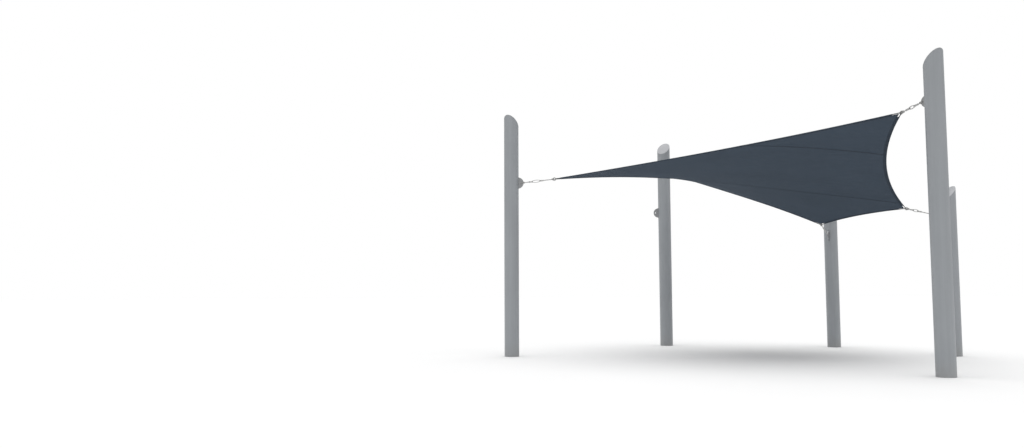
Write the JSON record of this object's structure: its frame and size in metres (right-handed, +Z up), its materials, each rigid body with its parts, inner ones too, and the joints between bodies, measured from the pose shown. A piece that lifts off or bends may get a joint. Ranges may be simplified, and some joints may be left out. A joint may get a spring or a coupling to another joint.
{
  "type": "shade sail on posts",
  "caption": "Five-cornered fabric shade sail held taut between slant-topped round steel posts by turnbuckles, its corners at different heights.",
  "frame": {"origin": "on the ground, midway between the posts' outermost faces in X and in Y", "axes": "+Z up, +Y away from the front post, +X along the sail from its low-angled left corner to the right post"},
  "size_m": [6.753, 5.6772, 3.7625],
  "materials": {
    "post_paint": "satin mid-grey paint on steel pipe",
    "cap_paint": "satin light-grey paint on steel plate",
    "sail_fabric": "matt, closely knitted dark blue-grey shade cloth",
    "galvanised": "dull galvanised steel plate",
    "stainless": "satin stainless steel",
    "edge_cable": "dark weathered steel wire rope"
  },
  "bodies": {
    "root": {"cable_loop_front": "edge_cable", "cable_loop_left": "edge_cable", "cable_loop_rear": "edge_cable", "cable_loop_rear_right": "edge_cable", "cable_loop_right": "edge_cable", "cap_front": "cap_paint", "cap_left": "cap_paint", "cap_rear": "cap_paint", "cap_rear_right": "cap_paint", "cap_right": "cap_paint", "fork_post_front": "stainless", "fork_post_left": "stainless", "fork_post_rear": "stainless", "fork_post_rear_right": "stainless", "fork_post_right": "stainless", "fork_sail_front": "stainless", "fork_sail_left": "stainless", "fork_sail_rear": "stainless", "fork_sail_rear_right": "stainless", "fork_sail_right": "stainless", "lug_front": "galvanised", "lug_left": "galvanised", "lug_rear": "galvanised", "lug_rear_right": "galvanised", "lug_right": "galvanised", "lug_spare": "galvanised", "panel_front": "sail_fabric", "panel_middle": "sail_fabric", "panel_rear": "sail_fabric", "pin_post_front": "stainless", "pin_post_left": "stainless", "pin_post_rear": "stainless", "pin_post_rear_right": "stainless", "pin_post_right": "stainless", "pin_sail_front": "stainless", "pin_sail_left": "stainless", "pin_sail_rear": "stainless", "pin_sail_rear_right": "stainless", "pin_sail_right": "stainless", "post_front": "post_paint", "post_left": "post_paint", "post_rear": "post_paint", "post_rear_right": "post_paint", "post_right": "post_paint", "ring_front": "stainless", "ring_left": "stainless", "ring_rear": "stainless", "ring_rear_right": "stainless", "ring_right": "stainless", "turnbuckle_front": "stainless", "turnbuckle_left": "stainless", "turnbuckle_rear": "stainless", "turnbuckle_rear_right": "stainless", "turnbuckle_right": "stainless"}
  },
  "joints": []
}
